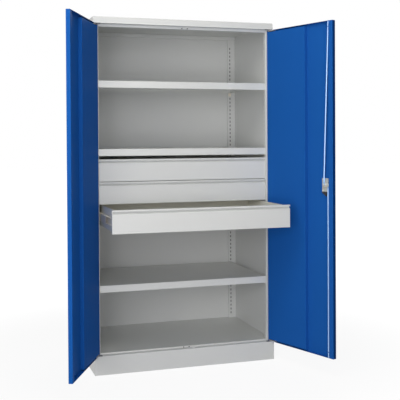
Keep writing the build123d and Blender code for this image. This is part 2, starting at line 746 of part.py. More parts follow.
def key_cylinder():
    """Key barrel in the middle of the handle, with its key slot."""
    outer = -HANDLE_REACH - KEY_PROUD
    t = (outer, -HANDLE_REACH + KEY_LENGTH - BUSH_PLAY)
    barrel = drilled_t(1, SPINDLE_S, LOCK_HEIGHT, KEY_RADIUS - RUNNING_FIT, t)
    barrel = chamfer(barrel.faces().sort_by(Axis.Y)[0].edges(), KEY_PROUD / 2)
    s = (SPINDLE_S - KEY_SLOT_WIDTH / 2, SPINDLE_S + KEY_SLOT_WIDTH / 2)
    z = (LOCK_HEIGHT - KEY_SLOT_LENGTH / 2, LOCK_HEIGHT + KEY_SLOT_LENGTH / 2)
    return barrel - door_block(1, s, (outer - KEY_PROUD, outer + KEY_SLOT_DEPTH), z)


def lock_rod(name):
    """Round rod with a flat eye on the cam's pin, leaning to its guide while the lock is open."""
    way, tip = ROD_LINES[name][2:]
    pin_s = SPINDLE_S - way * CAM_THROW
    tilt = rod_tilts(name)[0]
    length = abs(tip - LOCK_HEIGHT) / math.cos(tilt)
    flat = ROD_EYE_SHEET / 2
    rod = Rot(90, 0, 0) * Cylinder(ROD_EYE_RADIUS, ROD_EYE_SHEET)
    rod += block((-ROD_RADIUS, ROD_RADIUS), (-flat, flat), (0, ROD_NECK))
    shaft = Pos(0, 0, (ROD_NECK + length) / 2) * Cylinder(ROD_RADIUS, length - ROD_NECK)
    rod += chamfer(shaft.faces().sort_by(Axis.Z)[-1].edges(), ROD_TIP_CHAMFER)
    rod -= Rot(90, 0, 0) * Cylinder(CAM_PIN_RADIUS + RUNNING_FIT, 2 * ROD_EYE_SHEET)
    turn = -math.degrees(tilt)
    if way < 0:
        turn = 180.0 - turn
    return Pos(door_x(1, pin_s), FRONT + ROD_T, LOCK_HEIGHT) * Rot(0, turn, 0) * rod


# Drawers


def drawer_top(index):
    """Height of the upper edge of a drawer, counted from the uppermost."""
    under_shelf = shelf_level("middle") - SHELF_FRONT_HEIGHT
    return under_shelf - DRAWER_BELOW_SHELF - DRAWER_PITCH * index


def channel(x_web, x_edge, z, height, y):
    """Slide member: a channel with its web at x_web, open towards x_edge."""
    half = height / 2 if x_web > x_edge else -height / 2
    points = [(x_edge, z + half), (x_web, z + half), (x_web, z - half), (x_edge, z - half)]
    return along_y(fold(points, SLIDE_SHEET, SLIDE_BEND), y)


def slide_y():
    """Limits along the depth of a shut slide."""
    start = TRAY_FRONT + SLIDE_START
    return (start, start + SLIDE_LENGTH)


def slide_outer(index):
    """Outer slide members of one drawer, fixed to the brackets."""
    z = drawer_top(index) - SLIDE_BELOW_TOP
    edge = TRAY_HALF + 2 * SLIDE_SHEET
    return both_sides(channel(SLIDE_SEAT, edge, z, SLIDE_HEIGHT, slide_y()))


def slide_middle(index):
    """Middle slide members of one drawer, which travel half as far as the drawer."""
    z = drawer_top(index) - SLIDE_BELOW_TOP
    web = SLIDE_SEAT - SLIDE_SHEET - SLIDE_PLAY
    height = SLIDE_HEIGHT - 2 * (SLIDE_SHEET + SLIDE_PLAY)
    edge = TRAY_HALF + SLIDE_SHEET + 2 * SLIDE_PLAY
    pair = both_sides(channel(web, edge, z, height, slide_y()))
    return pair.moved(Location((0, -DRAWER_PULLED[index] / 2, 0)))


def slide_inner(index):
    """Inner slide members of one drawer, fixed to its tray."""
    z = drawer_top(index) - SLIDE_BELOW_TOP
    height = SLIDE_HEIGHT - 4 * (SLIDE_SHEET + SLIDE_PLAY)
    edge = SLIDE_SEAT - 2 * (SLIDE_SHEET + SLIDE_PLAY)
    pair = both_sides(channel(TRAY_HALF, edge, z, height, slide_y()))
    return pair.moved(Location((0, -DRAWER_PULLED[index], 0)))


def slide_brackets():
    """Right-hand channels between the post and the upright that carry the slides."""
    half = BRACKET_HEIGHT / 2
    wall = SIDE - SHEET
    brackets = []
    for index in range(DRAWERS):
        z = drawer_top(index) - SLIDE_BELOW_TOP
        points = [(wall, z - half), (SLIDE_SEAT, z - half), (SLIDE_SEAT, z + half), (wall, z + half)]
        brackets.append(along_y(fold(points), (POST_BACK, UPRIGHT_FRONT)))
    return Compound(brackets)


def drawer_front(index):
    """Folded drawer front: a proud lip, a finger groove with a sloping floor and a flat face."""
    top = drawer_top(index)
    low = top - DRAWER_HEIGHT
    face = DRAWER_FACE
    section = fold(
        [
            (face + FRONT_DEPTH, low + FRONT_LEG),
            (face + FRONT_DEPTH, low),
            (face, low),
            (face, top - GRIP_LIP - GRIP_MOUTH),
            (face + GRIP_DEPTH, top - GRIP_LIP - GRIP_FLOOR),
            (face + GRIP_DEPTH, top - GRIP_LIP),
            (face - GRIP_PROUD, top - GRIP_LIP),
            (face - GRIP_PROUD, top),
            (face + FRONT_DEPTH, top),
            (face + FRONT_DEPTH, top - FRONT_LEG),
        ],
        DRAWER_SHEET,
        DRAWER_BEND,
    )
    half = OPENING - DRAWER_SIDE_CLEARANCE
    front = along_x(section, (-half, half))
    cheek = along_x(drawer_cheek(top, low), (half - DRAWER_SHEET, half))
    front = front + cheek + left_of(cheek)
    return front.moved(Location((0, -DRAWER_PULLED[index], 0)))


def drawer_cheek(top, low):
    """Outline of the sheet that closes an end of the drawer front."""
    face = DRAWER_FACE
    sheet = DRAWER_SHEET / 2
    return make_face(
        Polyline(
            (face + FRONT_DEPTH, low + sheet),
            (face + sheet, low + sheet),
            (face + sheet, top - GRIP_LIP - GRIP_MOUTH),
            (face + GRIP_DEPTH + sheet, top - GRIP_LIP - GRIP_FLOOR),
            (face + GRIP_DEPTH + sheet, top - sheet),
            (face + FRONT_DEPTH, top - sheet),
            close=True,
        )
    )


def drawer_tray(index):
    """Open sheet box behind a drawer front."""
    top = drawer_top(index)
    z = (top - DRAWER_HEIGHT + TRAY_ABOVE_BASE, top - TRAY_BELOW_TOP)
    y = (TRAY_FRONT, TRAY_FRONT + TRAY_LENGTH)
    tray = block((-TRAY_HALF, TRAY_HALF), y, z)
    tray = fillet(tray.edges().filter_by(Axis.Z), BEND)
    inner = TRAY_HALF - TRAY_SHEET
    inner_y = (y[0] + TRAY_SHEET, y[1] - TRAY_SHEET)
    tray -= block((-inner, inner), inner_y, (z[0] + TRAY_SHEET, z[1] + TRAY_SHEET))
    return tray.moved(Location((0, -DRAWER_PULLED[index], 0)))


# Write every piece


def cabinet():
    """All pieces, by node name."""
    pieces = {
        "plinth": plinth(),
        "roof_cap": roof_cap(),
        "back_panel": back_panel(),
        "bottom_panel": bottom_panel(),
        "head_rail": head_rail(),
        "rear_rail": rear_rail(),
        "side_panel_right": side_panel(),
        "side_panel_left": left_of(side_panel()),
        "front_post_right": front_post(),
        "front_post_left": left_of(front_post()),
        "rear_upright_right": rear_upright(),
        "rear_upright_left": left_of(rear_upright()),
        "slide_brackets_right": slide_brackets(),
        "slide_brackets_left": left_of(slide_brackets()),
        "hinge_pins": hinge_pins(),
        "door_buffers": door_buffers(),
    }
    for name in SHELF_SLOTS:
        pieces[f"shelf_{name}"] = shelf(name)
        pieces[f"shelf_stiffener_{name}"] = shelf_stiffener(name)
        pieces[f"shelf_clips_{name}"] = shelf_clips(name)
    for index in range(DRAWERS):
        number = index + 1
        pieces[f"slide_outer_{number}"] = slide_outer(index)
        pieces[f"slide_middle_{number}"] = slide_middle(index)
        pieces[f"slide_inner_{number}"] = slide_inner(index)
        pieces[f"drawer_tray_{number}"] = drawer_tray(index)
        pieces[f"drawer_front_{number}"] = drawer_front(index)
    for side, name in ((-1, "left"), (1, "right")):
        pieces[f"{name}_door_stiffening_panel"] = opened(side, stiffening_panel(side))
        pieces[f"{name}_door_hinge_plates"] = opened(side, hinge_plates(side))
        pieces[f"{name}_door_hinge_bushes"] = opened(side, hinge_bushes(side))
    pieces["left_door_skin"] = opened(-1, door_skin(-1))
    on_right_door = {
        "right_door_skin": right_door_skin(),
        "lock_body": lock_body(),
        "lock_screws": lock_screws(),
        "rod_guides": rod_guides(),
        "handle_rose": handle_rose(),
        "turn_handle": turn_handle(),
        "spindle": spindle(),
        "lock_cam": lock_cam(),
        "cam_screw": cam_screw(),
        "key_cylinder": key_cylinder(),
        "upper_rod": lock_rod("upper"),
        "lower_rod": lock_rod("lower"),
    }
    for name, shape in on_right_door.items():
        pieces[name] = opened(1, shape)
    return pieces


for node, shape in cabinet().items():
    export_step(shape, f"parts/{node}.step")
    print(node, len(shape.solids()))
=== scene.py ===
# %% [markdown]
# # A storage cabinet of folded sheet steel
#
# This lesson dresses a finished construction. The cabinet's solids come from the construction file, already
# in their places, in metres: X to the right, Y to the back and Z up, with the floor at zero.
# What is left to do is the look: paint that is sprayed on as powder and melted, bright zinc on the moving
# steel, moulded plastic on the handle, and the small fixings that are too fine for the construction.

import json
import math

import bmesh
import bpy
from mathutils import Matrix, Vector


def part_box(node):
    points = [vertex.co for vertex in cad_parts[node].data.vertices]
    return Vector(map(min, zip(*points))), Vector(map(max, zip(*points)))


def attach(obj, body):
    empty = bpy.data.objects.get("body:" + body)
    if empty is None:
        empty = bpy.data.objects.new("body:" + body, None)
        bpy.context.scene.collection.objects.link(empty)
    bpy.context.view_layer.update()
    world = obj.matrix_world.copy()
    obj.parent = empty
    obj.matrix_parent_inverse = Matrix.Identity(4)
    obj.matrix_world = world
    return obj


for left_over in ("Cube", "Camera", "Light"):
    if left_over in bpy.data.objects:
        bpy.data.objects.remove(bpy.data.objects[left_over])

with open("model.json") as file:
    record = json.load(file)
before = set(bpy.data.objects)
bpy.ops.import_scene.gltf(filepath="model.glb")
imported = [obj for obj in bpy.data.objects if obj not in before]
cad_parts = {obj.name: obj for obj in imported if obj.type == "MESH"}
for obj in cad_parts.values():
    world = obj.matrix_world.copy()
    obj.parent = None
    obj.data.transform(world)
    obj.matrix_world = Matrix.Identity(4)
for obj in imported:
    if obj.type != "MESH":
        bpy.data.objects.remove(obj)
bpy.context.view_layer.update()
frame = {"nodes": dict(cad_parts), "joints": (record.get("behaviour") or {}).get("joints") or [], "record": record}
nodes = frame["nodes"]
slot_of = {part["node"]: part["material_slot"] for part in frame["record"]["subparts"]}
MM = 0.001

# %% [markdown]
# ## Node groups: one effect, many finishes
#
# An effect that several finishes need is a group of its own, with its sizes as inputs. Every finish here has
# a tone that wanders between a dark and a light one, a roughness that wanders with it, and a fine relief, so
# all the groups for finishes share those inputs and outputs.

# %% A helper that starts a group
FINISH_INPUTS = [
    ("Dark", "Color", (0.5, 0.5, 0.5, 1.0)),
    ("Light", "Color", (0.6, 0.6, 0.6, 1.0)),
    ("Roughness low", "Float", 0.4),
    ("Roughness high", "Float", 0.5),
]
FINISH_OUTPUTS = [("Color", "Color"), ("Roughness", "Float"), ("Height", "Float")]


def start_group(name, inputs, outputs):
    """New shader group with named inputs, given as (name, kind, default), and outputs (name, kind)."""
    group = bpy.data.node_groups.new(name, "ShaderNodeTree")
    for socket_name, kind, default in inputs:
        socket = group.interface.new_socket(socket_name, in_out="INPUT", socket_type="NodeSocket" + kind)
        if default is not None:
            socket.default_value = default
    for socket_name, kind in outputs:
        group.interface.new_socket(socket_name, in_out="OUTPUT", socket_type="NodeSocket" + kind)
    start = group.nodes.new("NodeGroupInput")
    end = group.nodes.new("NodeGroupOutput")
    return group, start, end


print("a finish takes", [name for name, kind, default in FINISH_INPUTS])

# %% [markdown]
# ## Short words for nodes
#
# Most nodes need the same three lines: make it, set it, link it. These helpers do that and give back the
# socket that comes out, so a chain of nodes reads like a sum.

# %% Helpers for nodes


def feed(tree, value, socket):
    """Link a socket to another one, or write a plain value on it."""
    if isinstance(value, bpy.types.NodeSocket):
        tree.links.new(value, socket)
    else:
        socket.default_value = value


def noise(tree, vector, scale, detail):
    """Noise of a vector."""
    node = tree.nodes.new("ShaderNodeTexNoise")
    node.inputs["Detail"].default_value = detail
    feed(tree, vector, node.inputs["Vector"])
    feed(tree, scale, node.inputs["Scale"])
    return node.outputs["Fac"]


def mix_colours(tree, share, first, second):
    """Colour between two others."""
    node = tree.nodes.new("ShaderNodeMix")
    node.data_type = "RGBA"
    for value, key in ((share, "Factor"), (first, "A"), (second, "B")):
        feed(tree, value, node.inputs[key])
    return node.outputs["Result"]


def to_range(tree, value, from_min, from_max, to_min=0.0, to_max=1.0, smooth=False):
    """Value that goes from to_min to to_max while the given one goes from from_min to from_max."""
    node = tree.nodes.new("ShaderNodeMapRange")
    if smooth:
        node.interpolation_type = "SMOOTHSTEP"
    keys = ("Value", "From Min", "From Max", "To Min", "To Max")
    for key, given in zip(keys, (value, from_min, from_max, to_min, to_max)):
        feed(tree, given, node.inputs[key])
    return node.outputs["Result"]


NOISE_LOW, NOISE_HIGH = 0.3, 0.7


def end_finish_group(group, start, end, share, height):
    """Give a group its three outputs: tone and roughness follow the share, and the height is passed on."""
    tone = mix_colours(group, share, start.outputs["Dark"], start.outputs["Light"])
    low, high = start.outputs["Roughness low"], start.outputs["Roughness high"]
    roughness = to_range(group, share, NOISE_LOW, NOISE_HIGH, low, high)
    for socket, key in ((tone, "Color"), (roughness, "Roughness"), (height, "Height")):
        group.links.new(socket, end.inputs[key])
    print("group", group.name, "with", len(group.nodes), "nodes")


print("the bulk of a noise lies between", NOISE_LOW, "and", NOISE_HIGH)

# %% [markdown]
# ## The skin of powder coat
#
# Powder coat is never quite flat. The melted grains leave a skin like that of an orange, about a millimetre
# from hump to hump, and the gloss changes a little from place to place. The pattern reads Object
# coordinates, which are metres here, so a scale of 700 means 700 humps to a metre.

# %% Powder-coat skin
peel_group, start, end = start_group(
    "powder_coat_skin",
    [("Vector", "Vector", None), ("Humps per metre", "Float", 700.0), ("Clouds per metre", "Float", 3.0)]
    + FINISH_INPUTS,
    FINISH_OUTPUTS,
)
humps = noise(peel_group, start.outputs["Vector"], start.outputs["Humps per metre"], 1.5)
clouds = noise(peel_group, start.outputs["Vector"], start.outputs["Clouds per metre"], 3.0)
end_finish_group(peel_group, start, end, clouds, humps)

# %% [markdown]
# ## Rolled and drawn steel
#
# Steel keeps the direction in which it was rolled or drawn: fine lines that run along the rod or the sheet. A
# noise that is stretched along one axis gives them, so the group takes the stretch as an input and each
# finish says which way its lines run. Broad patches lie over them, and the tone is half lines, half patches.

# %% Drawn zinc
PATCHES_PER_METRE = 14.0


def math_node(tree, operation, first, second=None):
    """Result of a sum with one or two sockets or numbers."""
    node = tree.nodes.new("ShaderNodeMath")
    node.operation = operation
    feed(tree, first, node.inputs[0])
    if second is not None:
        feed(tree, second, node.inputs[1])
    return node.outputs["Value"]


zinc_group, start, end = start_group(
    "drawn_zinc",
    [("Vector", "Vector", None), ("Stretch", "Vector", (1.0, 1.0, 1.0)), ("Lines per metre", "Float", 900.0)]
    + FINISH_INPUTS,
    FINISH_OUTPUTS,
)
stretched = zinc_group.nodes.new("ShaderNodeVectorMath")
stretched.operation = "MULTIPLY"
zinc_group.links.new(start.outputs["Vector"], stretched.inputs[0])
zinc_group.links.new(start.outputs["Stretch"], stretched.inputs[1])
lines = noise(zinc_group, stretched.outputs["Vector"], start.outputs["Lines per metre"], 2.0)
patches = noise(zinc_group, start.outputs["Vector"], PATCHES_PER_METRE, 4.0)
tone_share = math_node(zinc_group, "MULTIPLY", math_node(zinc_group, "ADD", lines, patches), 0.5)
end_finish_group(zinc_group, start, end, tone_share, lines)

# %% [markdown]
# ## Spot welds
#
# The walls are spot-welded to the posts and the uprights. Under paint each weld is a shallow round dent. A
# row of dents is a distance to the nearest point of a dotted line, which is cheap to work out and needs no
# geometry. Across and Along are two of the coordinates, chosen by the material. The ping-pong operation
# gives the distance along the row to the next weld.

# %% A row of weld dents
DENT_FLOOR = 0.55

weld_group, start, end = start_group(
    "weld_row",
    [
        ("Across", "Float", 0.0),
        ("Along", "Float", 0.0),
        ("Line", "Float", 0.0),
        ("Pitch", "Float", 0.12),
        ("Radius", "Float", 0.004),
    ],
    [("Dent", "Float")],
)
half_pitch = math_node(weld_group, "MULTIPLY", start.outputs["Pitch"], 0.5)
to_line = math_node(weld_group, "SUBTRACT", start.outputs["Across"], start.outputs["Line"])
to_next = math_node(weld_group, "PINGPONG", start.outputs["Along"], half_pitch)
line_square = math_node(weld_group, "MULTIPLY", to_line, to_line)
next_square = math_node(weld_group, "MULTIPLY", to_next, to_next)
distance = math_node(weld_group, "SQRT", math_node(weld_group, "ADD", line_square, next_square))
in_radii = math_node(weld_group, "DIVIDE", distance, start.outputs["Radius"])
weld_group.links.new(to_range(weld_group, in_radii, DENT_FLOOR, 1.0, smooth=True), end.inputs["Dent"])
print("group", weld_group.name, "with", len(weld_group.nodes), "nodes")

# %% [markdown]
# ## Finishes
#
# Each finish is one material. The shader itself stays in the material, where its even values are set on its
# own sockets, and only what changes over the surface comes from a group.

# %% Place a group and make a relief


def use_group(tree, group, vector, values):
    """Place a group in a material with its own values."""
    node = tree.nodes.new("ShaderNodeGroup")
    node.node_tree = group
    if vector is not None:
        tree.links.new(vector, node.inputs["Vector"])
    for key, value in values.items():
        node.inputs[key].default_value = value
    return node


def relief(tree, height, depth, strength):
    """Normal of a surface with a height on it; the depth is in millimetres."""
    node = tree.nodes.new("ShaderNodeBump")
    node.inputs["Distance"].default_value = depth * MM
    node.inputs["Strength"].default_value = strength
    tree.links.new(height, node.inputs["Height"])
    return node.outputs["Normal"]


print("groups to place:", [group.name for group in bpy.data.node_groups])

# %% A finish from one group
COAT_ROUGHNESS = 0.2


def group_finish(name, group, values, depth, strength, metallic=0.0, specular=0.5, coat=0.0):
    """Material with even values on its shader, and colour, roughness and height from one group."""
    material = bpy.data.materials.new(name)
    material.use_nodes = True
    tree = material.node_tree
    shader = tree.nodes["Principled BSDF"]
    shader.inputs["Metallic"].default_value = metallic
    shader.inputs["Specular IOR Level"].default_value = specular
    shader.inputs["Coat Weight"].default_value = coat
    shader.inputs["Coat Roughness"].default_value = COAT_ROUGHNESS
    place = tree.nodes.new("ShaderNodeTexCoord")
    effect = use_group(tree, group, place.outputs["Object"], values)
    tree.links.new(effect.outputs["Color"], shader.inputs["Base Color"])
    tree.links.new(effect.outputs["Roughness"], shader.inputs["Roughness"])
    tree.links.new(relief(tree, effect.outputs["Height"], depth, strength), shader.inputs["Normal"])
    print("finish", name)
    return material


print("coat roughness", COAT_ROUGHNESS)

# %% [markdown]
# ## Two kinds of surface
#
# Everything on this cabinet has either fine humps, as paint, castings and mouldings do, or fine lines, as
# rolled and drawn steel does. So there are two makers of finishes, one for each group. A colour is given once,
# with the share by which it wanders to both sides, because darker and lighter places of one finish differ by a
# share and not by an amount.

# %% Grained and drawn finishes


def wander(colour, spread, roughness):
    """Group values for a tone that wanders by a share of itself, and for a roughness from low to high."""
    dark = [part * (1 - spread) for part in colour]
    light = [part * (1 + spread) for part in colour]
    low, high = roughness
    return {"Dark": (*dark, 1.0), "Light": (*light, 1.0), "Roughness low": low, "Roughness high": high}


def grained(name, humps, clouds, colour, spread, roughness, depth, strength, **even):
    """Finish with fine humps all over; humps and clouds are counted per metre."""
    values = {"Humps per metre": humps, "Clouds per metre": clouds} | wander(colour, spread, roughness)
    return group_finish(name, peel_group, values, depth, strength, **even)


def drawn(name, stretch, lines, colour, spread, roughness, depth, strength, **even):
    """Finish with drawn lines, which run along the axis whose stretch is small."""
    values = {"Stretch": stretch, "Lines per metre": lines} | wander(colour, spread, roughness)
    return group_finish(name, zinc_group, values, depth, strength, **even)


print("a tone wanders like this:", wander((0.5, 0.5, 0.5), 0.1, (0.4, 0.5)))

# %% [markdown]
# ## The two paints
#
# The doors are a deep blue and the casing a light, faintly warm grey. Both are satin: light spreads on them,
# and a lamp shows as a wide soft sheen.

# %% Paints
blue_coat = grained(
    "blue powder coat",
    humps=650.0,
    clouds=2.5,
    colour=(0.012, 0.104, 0.395),
    spread=0.06,
    roughness=(0.4, 0.48),
    depth=0.05,
    strength=0.6,
    specular=0.01,
)
grey_coat = grained(
    "grey powder coat",
    humps=650.0,
    clouds=2.0,
    colour=(0.66, 0.67, 0.65),
    spread=0.025,
    roughness=(0.4, 0.5),
    depth=0.05,
    strength=0.5,
    coat=0.3,
)

# %% [markdown]
# ## Paint over welds
#
# The side walls and the back wall have the grey paint over rows of weld dents: along the posts and uprights,
# and down the middle of the back. The dents come under the skin, so their normal goes into the skin's own
# Bump node. A row's place is its distance from the cabinet's middle, in metres.

# %% Grey paint with weld dents
WELD_PITCH, WELD_RADIUS = 0.14, 0.0045
DENT_DEPTH, DENT_STRENGTH = 0.25, 0.7
SIDE_WELDS = (-0.281, 0.314)
BACK_WELDS = (-0.48, 0.0, 0.48)


def place_socket(tree):
    """Object coordinates in a finish's tree."""
    return next(node for node in tree.nodes if node.type == "TEX_COORD").outputs["Object"]


def welded_coat(name, across, lines):
    """The grey paint with rows of weld dents along Z, at the given places across."""
    material = grey_coat.copy()
    material.name = name
    tree = material.node_tree
    skin_bump = next(node for node in tree.nodes if node.type == "BUMP")
    parts = tree.nodes.new("ShaderNodeSeparateXYZ")
    tree.links.new(place_socket(tree), parts.inputs["Vector"])
    height = None
    for line in lines:
        row = use_group(tree, weld_group, None, {"Line": line, "Pitch": WELD_PITCH, "Radius": WELD_RADIUS})
        tree.links.new(parts.outputs[across], row.inputs["Across"])
        tree.links.new(parts.outputs["Z"], row.inputs["Along"])
        dent = row.outputs["Dent"]
        height = dent if height is None else math_node(tree, "MULTIPLY", height, dent)
    tree.links.new(relief(tree, height, DENT_DEPTH, DENT_STRENGTH), skin_bump.inputs["Normal"])
    print("finish", name, "with", len(lines), "rows")
    return material


side_coat = welded_coat("grey powder coat, welded sides", "Y", SIDE_WELDS)
back_coat = welded_coat("grey powder coat, welded back", "X", BACK_WELDS)

# %% [markdown]
# ## Painted shade inside the uprights
#
# Little light gets into a closed channel, and that shade is painted: the uprights are darkened to a near black
# in there, and so are the parts of the walls that close them, which is why their slots read as a row of black
# dots from afar. A group tells where inside is, from the position alone, and each of the three paints darkens
# there.

# %% Mask of the insides of the uprights
channel_shade_group, start, end = start_group(
    "painted_shade_inside_upright",
    [
        ("Vector", "Vector", None),
        ("Inner edge", "Float", 0.4746),
        ("Outer edge", "Float", 0.5243),
        ("Front", "Float", 0.3074),
        ("Back", "Float", 0.3243),
    ],
    [("Mask", "Float")],
)
parts = channel_shade_group.nodes.new("ShaderNodeSeparateXYZ")
channel_shade_group.links.new(start.outputs["Vector"], parts.inputs["Vector"])
aside = math_node(channel_shade_group, "ABSOLUTE", parts.outputs["X"])
limits = [
    math_node(channel_shade_group, "GREATER_THAN", aside, start.outputs["Inner edge"]),
    math_node(channel_shade_group, "LESS_THAN", aside, start.outputs["Outer edge"]),
    math_node(channel_shade_group, "GREATER_THAN", parts.outputs["Y"], start.outputs["Front"]),
    math_node(channel_shade_group, "LESS_THAN", parts.outputs["Y"], start.outputs["Back"]),
]
mask = limits[0]
for limit in limits[1:]:
    mask = math_node(channel_shade_group, "MULTIPLY", mask, limit)
channel_shade_group.links.new(mask, end.inputs["Mask"])
print("group", channel_shade_group.name, "with", len(limits), "limits")

# %% Painted shade in there
# A near black that stands for the shade inside the closed channels: painted shade, not a colour of the steel.
PAINTED_CHANNEL_SHADE = (0.07, 0.07, 0.07, 1.0)
slotted_coat = grey_coat.copy()
slotted_coat.name = "grey powder coat, slotted upright"
for material in (side_coat, back_coat, slotted_coat):
    tree = material.node_tree
    base_colour = tree.nodes["Principled BSDF"].inputs["Base Color"]
    paint = base_colour.links[0].from_socket
    inside = use_group(tree, channel_shade_group, place_socket(tree), {})
    tree.links.new(mix_colours(tree, inside.outputs["Mask"], paint, PAINTED_CHANNEL_SHADE), base_colour)
    print("painted shade inside:", material.name)

# %% [markdown]
# ## Sheet steel of the shelves and the trays
#
# The shelves are a smooth light grey that mirrors the back wall a little, so they get a clear coat. The
# trays are duller and warmer. Their lines run the way the sheet came off the roll: along the shelf's width
# and along the tray's depth.

# %% Shelf and tray steel
shelf_steel = drawn(
    "shelf steel",
    stretch=(0.03, 1.0, 1.0),
    lines=500.0,
    colour=(0.66, 0.67, 0.64),
    spread=0.05,
    roughness=(0.36, 0.5),
    depth=0.03,
    strength=0.3,
    metallic=0.1,
    specular=0.7,
    coat=0.7,
)
tray_steel = drawn(
    "drawer steel",
    stretch=(1.0, 0.03, 1.0),
    lines=500.0,
    colour=(0.7, 0.69, 0.62),
    spread=0.05,
    roughness=(0.5, 0.62),
    depth=0.03,
    strength=0.3,
    specular=0.25,
)

# %% [markdown]
# ## Zinc on rods, slides and the lock
#
# The rods are bright zinc whose blue is partly the zinc's own tint and partly a painted reflection of the blue
# doors, and the slides pale, yellowish zinc. Both were drawn lengthwise, so the rods' lines run up and the
# slides' run back. The lock is a casting: grainy, with no direction.

# %% Zinc
rod_zinc = drawn(
    "drawn zinc, upright",
    stretch=(1.0, 1.0, 0.02),
    lines=1500.0,
    # The blue here is partly the zinc's own tint and partly a painted reflection of the blue doors.
    colour=(0.38, 0.58, 0.9),
    spread=0.12,
    roughness=(0.3, 0.42),
    depth=0.03,
    strength=0.4,
    metallic=0.55,
)
slide_zinc = drawn(
    "drawn zinc, lengthwise",
    stretch=(1.0, 0.02, 1.0),
    lines=1500.0,
    colour=(0.82, 0.77, 0.66),
    spread=0.1,
    roughness=(0.4, 0.52),
    depth=0.03,
    strength=0.4,
    metallic=0.3,
)
casting = grained(
    "zinc casting",
    humps=1800.0,
    clouds=60.0,
    colour=(0.62, 0.63, 0.58),
    spread=0.12,
    roughness=(0.4, 0.55),
    depth=0.06,
    strength=0.5,
    metallic=0.6,
)

# %% [markdown]
# ## Plastic and rubber
#
# The handle is black plastic from a mould with a fine grain. The bushes are a harder, bluish black plastic,
# and the buffers are dull rubber. The strip on the door's edge is painted shade: a dull, very dark blue.

# %% Plastics and rubber
black_plastic = grained(
    "black moulded plastic",
    humps=2600.0,
    clouds=30.0,
    colour=(0.022, 0.022, 0.024),
    spread=0.2,
    roughness=(0.42, 0.55),
    depth=0.04,
    strength=0.6,
)
bush_plastic = grained(
    "bearing plastic",
    humps=1500.0,
    clouds=40.0,
    colour=(0.03, 0.035, 0.05),
    spread=0.1,
    roughness=(0.45, 0.55),
    depth=0.02,
    strength=0.4,
)
rubber = grained(
    "buffer rubber",
    humps=2000.0,
    clouds=90.0,
    colour=(0.03, 0.03, 0.03),
    spread=0.2,
    roughness=(0.7, 0.85),
    depth=0.03,
    strength=0.5,
)
# Painted shade: a very dark blue for the shaded free edge of the right door.
painted_shade_strip = grained(
    "painted shade on the door's edge",
    humps=1500.0,
    clouds=20.0,
    colour=(0.002, 0.035, 0.16),
    spread=0.15,
    roughness=(0.6, 0.7),
    depth=0.02,
    strength=0.4,
    specular=0.02,
)

# %% [markdown]
# ## Finishes on the solids
#
# The construction names a kind of material for each piece. Most pieces take that kind's finish, and the few
# that differ from their kind are listed by name.

# %% Give every node its finish
FINISHES = {
    "blue_powder_coat": blue_coat,
    "grey_powder_coat": grey_coat,
    "shelf_steel": shelf_steel,
    "zinc_steel": slide_zinc,
    "lock_casting": casting,
    "black_plastic": black_plastic,
    "bush_plastic": bush_plastic,
    "buffer_rubber": rubber,
}
SPECIAL = {
    "side_panel_left": side_coat,
    "side_panel_right": side_coat,
    "back_panel": back_coat,
    "rear_upright_left": slotted_coat,
    "rear_upright_right": slotted_coat,
    "upper_rod": rod_zinc,
    "lower_rod": rod_zinc,
    "drawer_tray_1": tray_steel,
    "drawer_tray_2": tray_steel,
    "drawer_tray_3": tray_steel,
}
for name, node in nodes.items():
    finish = SPECIAL.get(name, FINISHES[slot_of[name]])
    for material_slot in node.material_slots:
        material_slot.material = finish
print("finishes on", len(nodes), "nodes,", len(SPECIAL), "by name")

# %% [markdown]
# ## Small fixings, modelled by hand
#
# The fixings start as a cylinder or a cube. An operator acts on all that is selected, so these helpers first
# clear the selection, and pick edges in code, by their place.

# %% Helpers for selecting
SMOOTH_ANGLE = math.radians(35)


def deselect_all():
    """Leave object mode's selection empty, because an operator acts on all that is selected."""
    if bpy.context.object and bpy.context.object.mode != "OBJECT":
        bpy.ops.object.mode_set(mode="OBJECT")
    bpy.ops.object.select_all(action="DESELECT")


def select_only(obj):
    """Make one object the selected and active one."""
    deselect_all()
    obj.select_set(True)
    bpy.context.view_layer.objects.active = obj


def edit_edges(obj, wanted):
    """Go into edit mode with just the edges selected for which wanted(edge) is true."""
    select_only(obj)
    bpy.ops.object.mode_set(mode="EDIT")
    bpy.ops.mesh.select_mode(type="EDGE")
    bpy.ops.mesh.select_all(action="DESELECT")
    mesh = bmesh.from_edit_mesh(obj.data)
    for edge in mesh.edges:
        edge.select_set(wanted(edge))
    bmesh.update_edit_mesh(obj.data)


def leave_edit(obj):
    """Back to object mode, smooth where faces meet at a small angle."""
    bpy.ops.object.mode_set(mode="OBJECT")
    select_only(obj)
    bpy.ops.object.shade_smooth_by_angle(angle=SMOOTH_ANGLE)


print("smooth below", round(math.degrees(SMOOTH_ANGLE)), "degrees")

# %% [markdown]
# ## Two patterns
#
# A rivet's or a screw's head is a low dome: a cylinder whose outer rim is bevelled until the top is round. The
# rim is found by its height, and the bevel stops a little short of the foot, so that no face shrinks to
# nothing. A rib, a shoe or a plate is a block with rounded edges: a cube whose edges are all bevelled.

# %% Dome and block
TOP_SHARE = 0.9
RIM_SHARE = 0.95


def domed_head(name, radius, height, sides=24):
    """Low dome that stands on the plane z = 0, looking along +Z."""
    deselect_all()
    bpy.ops.mesh.primitive_cylinder_add(
        vertices=sides, radius=radius, depth=height, location=(0, 0, height / 2)
    )
    head = bpy.context.object
    head.name = name
    bpy.ops.object.transform_apply(location=True)
    edit_edges(head, lambda edge: all(v.co.z > height * TOP_SHARE for v in edge.verts))
    bpy.ops.mesh.bevel(offset=min(height, radius * 0.5) * RIM_SHARE, segments=4, affect="EDGES")
    leave_edit(head)
    print("pattern", name, len(head.data.polygons), "faces")
    return head


